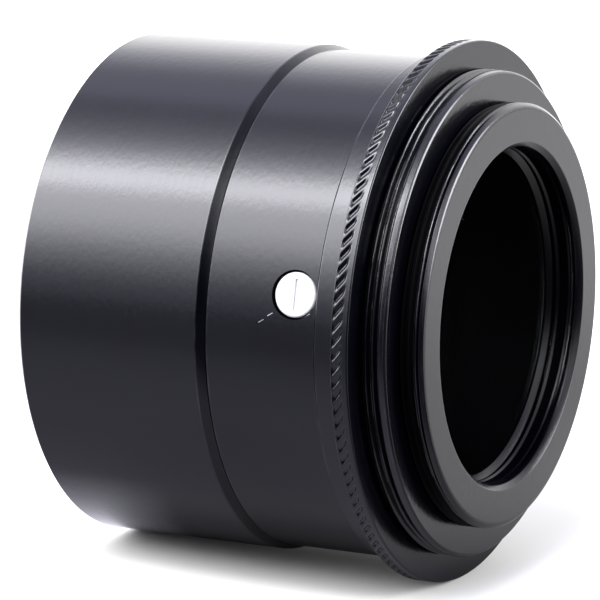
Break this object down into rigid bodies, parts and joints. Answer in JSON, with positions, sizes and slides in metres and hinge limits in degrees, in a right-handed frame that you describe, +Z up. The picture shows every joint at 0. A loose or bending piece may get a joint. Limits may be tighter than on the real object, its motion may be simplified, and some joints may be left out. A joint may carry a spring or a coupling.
{
  "type": "barlow lens",
  "caption": "Short black 2 inch Barlow lens: smooth nose barrel, body with radial nylon clamp screws, and a rotating knurled adapter with stepped male camera threads.",
  "frame": {"origin": "on the optical axis, halfway along the overall length", "axes": "+X along the optical axis from the telescope end to the camera end, +Z up as the part lies on its side, clamp screw 1 faces -Y and 12.4 degrees upward"},
  "size_m": [0.0414, 0.0536, 0.0536],
  "materials": {
    "black_anodised_aluminium": "satin black anodised",
    "matt_black_aluminium": "matt black anodised",
    "coated_glass": "polished, antireflection coated",
    "white_nylon": "semi-matt moulded nylon"
  },
  "bodies": {
    "barrel": {"nose_barrel": "black_anodised_aluminium", "cell_lock_ring": "matt_black_aluminium", "lens_cell": "matt_black_aluminium", "lens_retaining_ring": "matt_black_aluminium", "biconcave_element": "coated_glass", "element_spacer": "matt_black_aluminium", "meniscus_element": "coated_glass", "main_body": "black_anodised_aluminium"},
    "adapter": {"camera_adapter": "black_anodised_aluminium", "adapter_baffle_ring": "matt_black_aluminium"},
    "clamp_1": {"clamp_screw_1": "white_nylon"},
    "clamp_2": {"clamp_screw_2": "white_nylon"},
    "clamp_3": {"clamp_screw_3": "white_nylon"}
  },
  "joints": [
    {"name": "adapter_rotation", "type": "hinge", "parent": "barrel", "child": "adapter", "pos_m": [0, 0, 0], "axis": [1, 0, 0], "continuous": true},
    {"name": "clamp_screw_1_travel", "type": "slide", "parent": "barrel", "child": "clamp_1", "axis": [0, -0.9767, 0.2147], "range_m": [0, 0.0016]},
    {"name": "clamp_screw_2_travel", "type": "slide", "parent": "barrel", "child": "clamp_2", "axis": [0, 0.3024, -0.9532], "range_m": [0, 0.0016]},
    {"name": "clamp_screw_3_travel", "type": "slide", "parent": "barrel", "child": "clamp_3", "axis": [0, 0.6743, 0.7385], "range_m": [0, 0.0016]}
  ]
}
